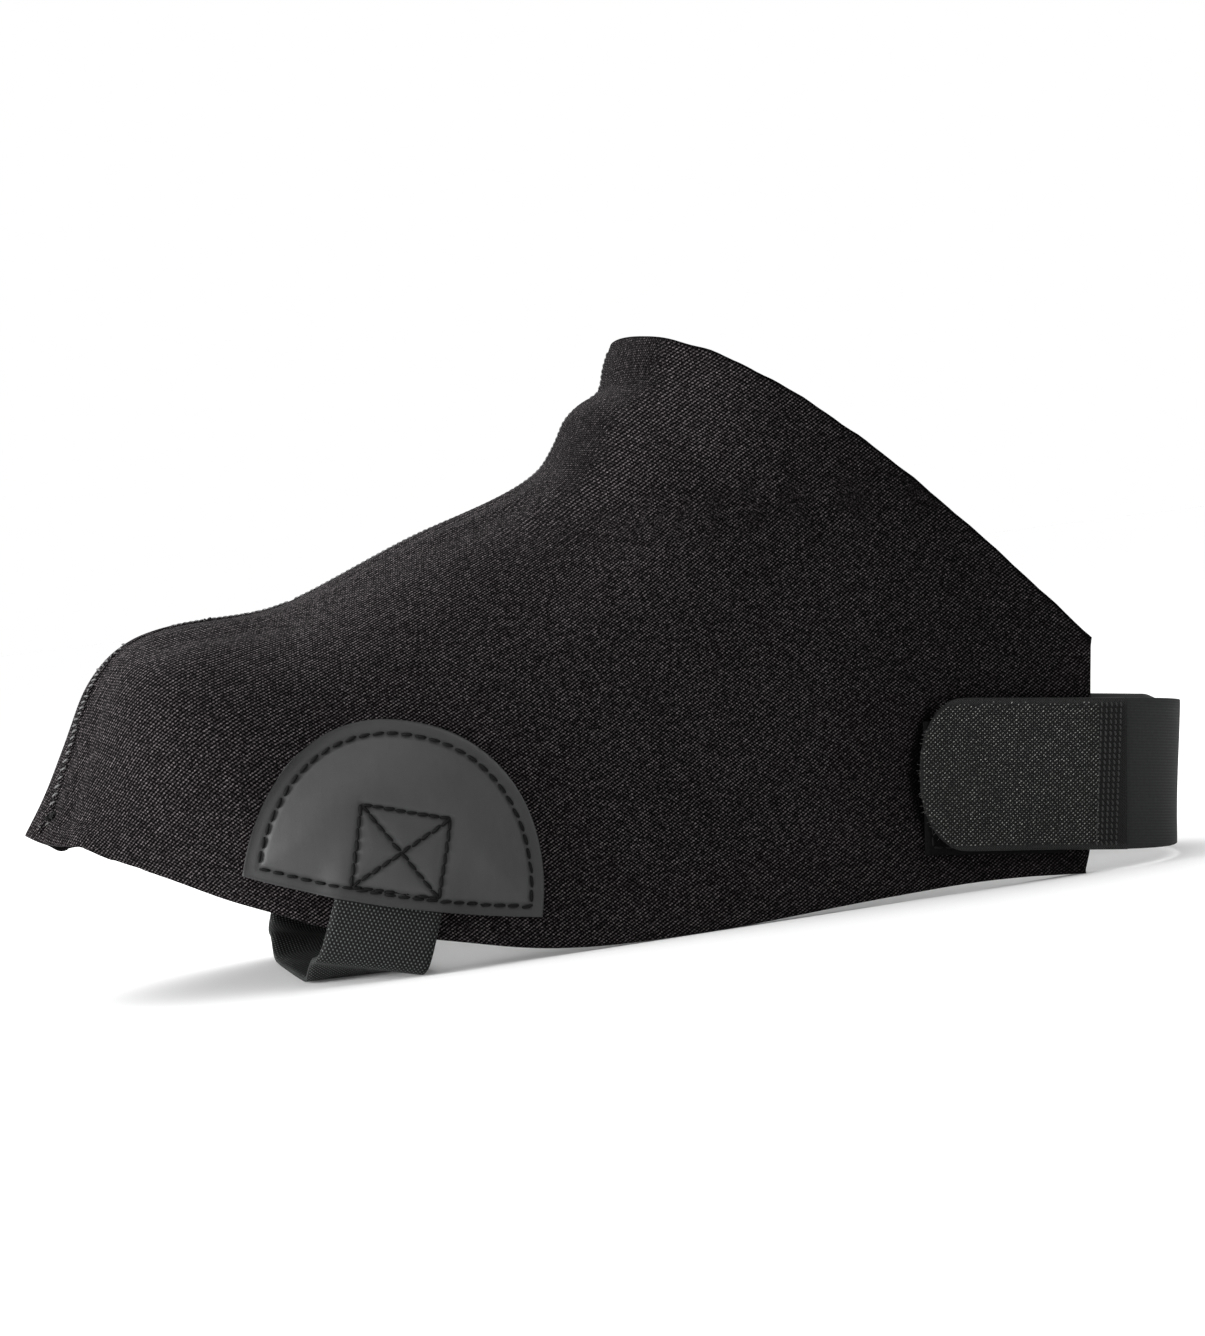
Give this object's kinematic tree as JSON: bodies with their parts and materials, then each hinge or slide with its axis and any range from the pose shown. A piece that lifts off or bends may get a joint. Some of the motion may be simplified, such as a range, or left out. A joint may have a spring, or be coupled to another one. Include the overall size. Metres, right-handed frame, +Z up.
{
  "type": "winter overshoe",
  "caption": "Stretch neoprene cover worn over a boot's toe, instep and ankle, open at heel and sole, held by a webbing strap under the foot and an elastic heel band with hook tab.",
  "frame": {"origin": "middle of the foot strap's underside, on the floor plane", "axes": "+X from toe to heel, +Y to the inner side of the left foot, +Z up"},
  "size_m": [0.2985, 0.1155, 0.1482],
  "materials": {
    "neoprene": "knit-faced neoprene, matte",
    "coated_patch": "smooth coated fabric, satin",
    "webbing": "ribbed woven webbing",
    "loop_tape": "napped loop tape",
    "hook_tape": "hook and pile tape",
    "elastic": "fine-ribbed woven elastic"
  },
  "bodies": {
    "root": {"upper": "neoprene", "patch_outer": "coated_patch", "patch_inner": "coated_patch", "foot_strap": "webbing", "loop_pad": "loop_tape", "hook_tab": "hook_tape", "heel_band": "elastic"}
  },
  "joints": []
}
